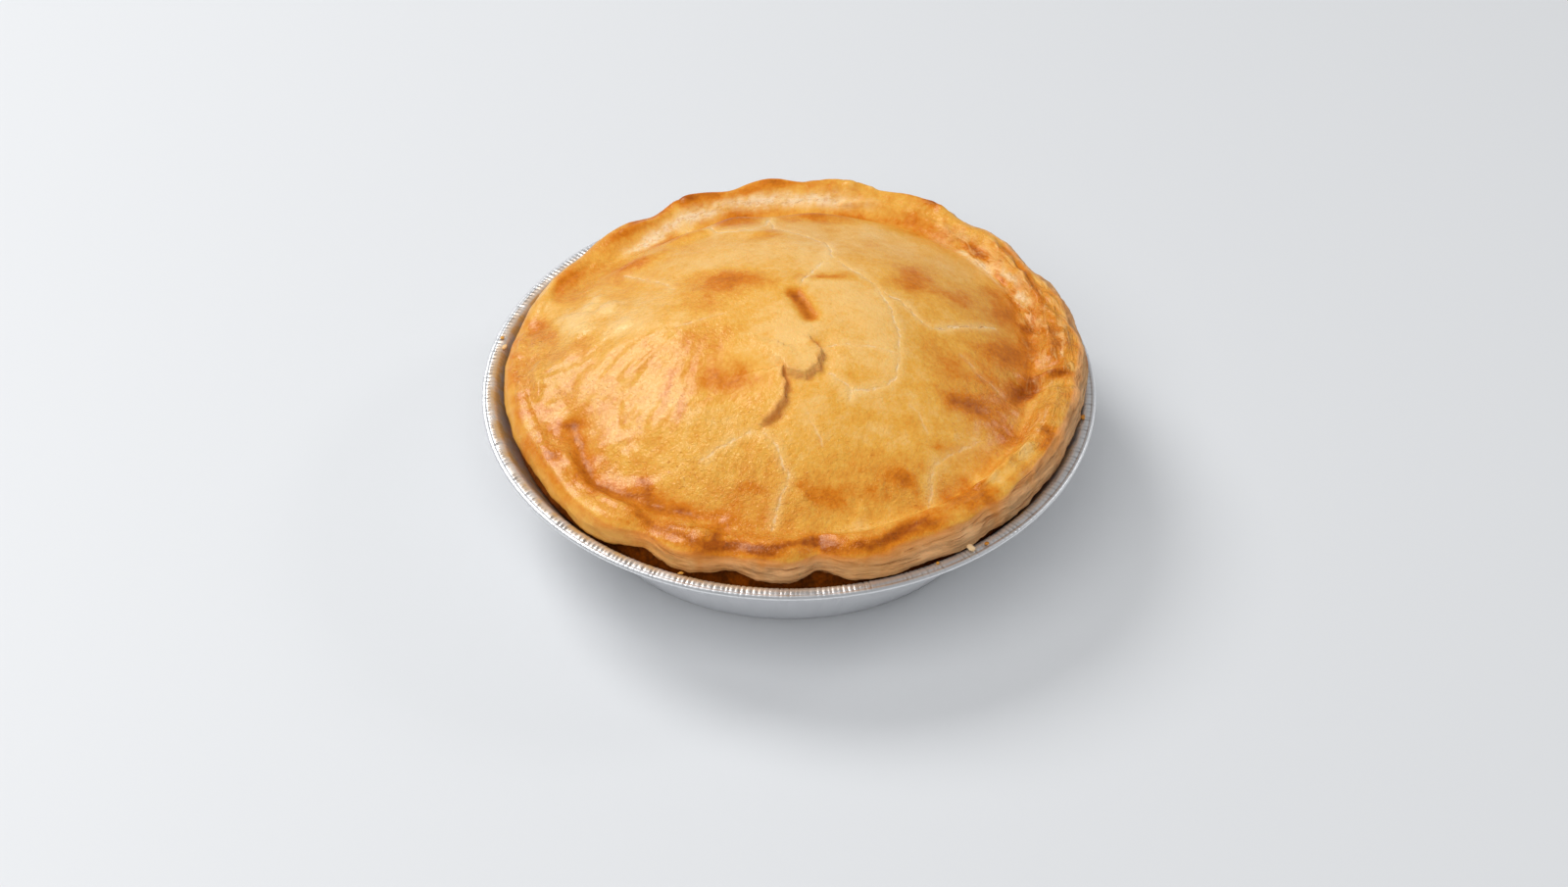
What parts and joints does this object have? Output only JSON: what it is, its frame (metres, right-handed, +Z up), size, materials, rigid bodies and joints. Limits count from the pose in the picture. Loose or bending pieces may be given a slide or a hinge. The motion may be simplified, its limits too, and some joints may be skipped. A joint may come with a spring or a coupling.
{
  "type": "chicken pot pie",
  "caption": "Single-serving pot pie with a domed, glazed golden lid and thumb-crimped edge, uncut, in a shallow flared foil pan with a thin pleated rim.",
  "frame": {"origin": "middle of the flat underside of the pan", "axes": "+Z up through the middle of the lid; -Y towards the side it is seen from; +X to the right of that view"},
  "size_m": [0.146, 0.146, 0.0514],
  "materials": {
    "crust": "baked pastry: golden with darker brown patches, egg-washed and glossy on top, pale and flaky down the side",
    "foil": "thin bright food-pan foil, satin wall and a finely pleated rim"
  },
  "bodies": {
    "root": {"pie": "crust", "foil_pan": "foil"}
  },
  "joints": []
}
